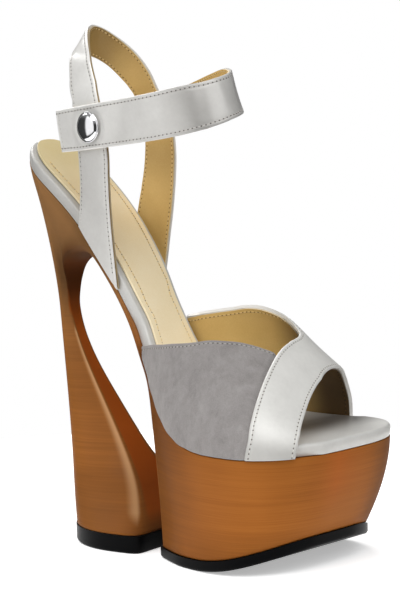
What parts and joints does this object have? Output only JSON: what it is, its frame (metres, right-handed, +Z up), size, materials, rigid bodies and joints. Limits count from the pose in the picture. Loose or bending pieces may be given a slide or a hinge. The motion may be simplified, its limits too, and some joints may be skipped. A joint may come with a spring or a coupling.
{
  "type": "platform wedge shoe",
  "caption": "Open-toe platform shoe for a right foot: wood-look platform and flared heel round an open arch, suede and silver leather vamp, strap round the heel with a snapped ankle band.",
  "frame": {"origin": "on the floor under the centre of the shoe's bounding box", "axes": "+X from heel to toe, +Y to the inner (medial) side of the foot, +Z up from the floor"},
  "size_m": [0.1788, 0.092, 0.2282],
  "materials": {
    "wood": "satin wood-look moulding",
    "rubber": "satin black",
    "silver_leather": "pearl silver, soft sheen",
    "vamp_leather": "grey suede side with a silver leather band",
    "tan_lining": "matt tan",
    "chrome": "polished"
  },
  "bodies": {
    "root": {"platform_heel_unit": "wood", "outsole": "rubber", "heel_top_lift": "rubber", "insole_board": "silver_leather", "insole_sock": "tan_lining", "vamp": "vamp_leather", "ankle_straps": "silver_leather", "snap_cap": "chrome"}
  },
  "joints": []
}
